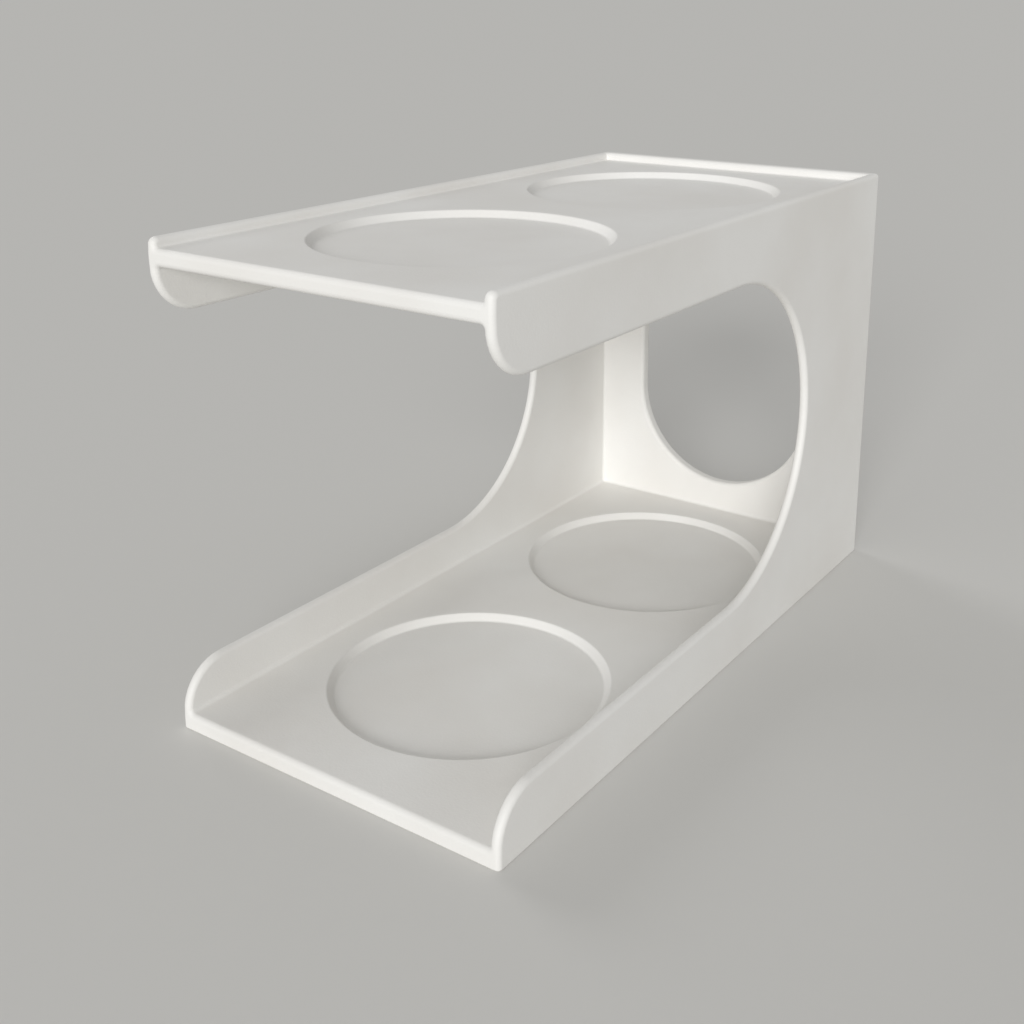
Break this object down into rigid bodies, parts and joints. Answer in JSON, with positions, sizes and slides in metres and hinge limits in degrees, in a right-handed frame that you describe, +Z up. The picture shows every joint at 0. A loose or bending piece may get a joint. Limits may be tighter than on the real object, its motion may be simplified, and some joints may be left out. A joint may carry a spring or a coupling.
{
  "type": "cup organizer",
  "caption": "Free-standing C-shaped cup stand with an upper and a lower shelf, round shallow cup seats, cut-away sides with rounded corners, an open front and an opening in the back.",
  "frame": {"origin": "middle of the footprint, on the surface that the stand rests on", "axes": "+X to the right seen from the open front, +Y from the open front to the back panel, +Z up"},
  "size_m": [0.1, 0.2, 0.1265],
  "materials": {
    "side_panels": "matte white plastic with a fine even grain",
    "back_panel": "matte white plastic with a fine even grain",
    "shelves": "matte white plastic with a fine even grain"
  },
  "bodies": {
    "root": {"left_side_panel": "side_panels", "right_side_panel": "side_panels", "back_panel": "back_panel", "bottom_shelf": "shelves", "top_shelf": "shelves"}
  },
  "joints": []
}
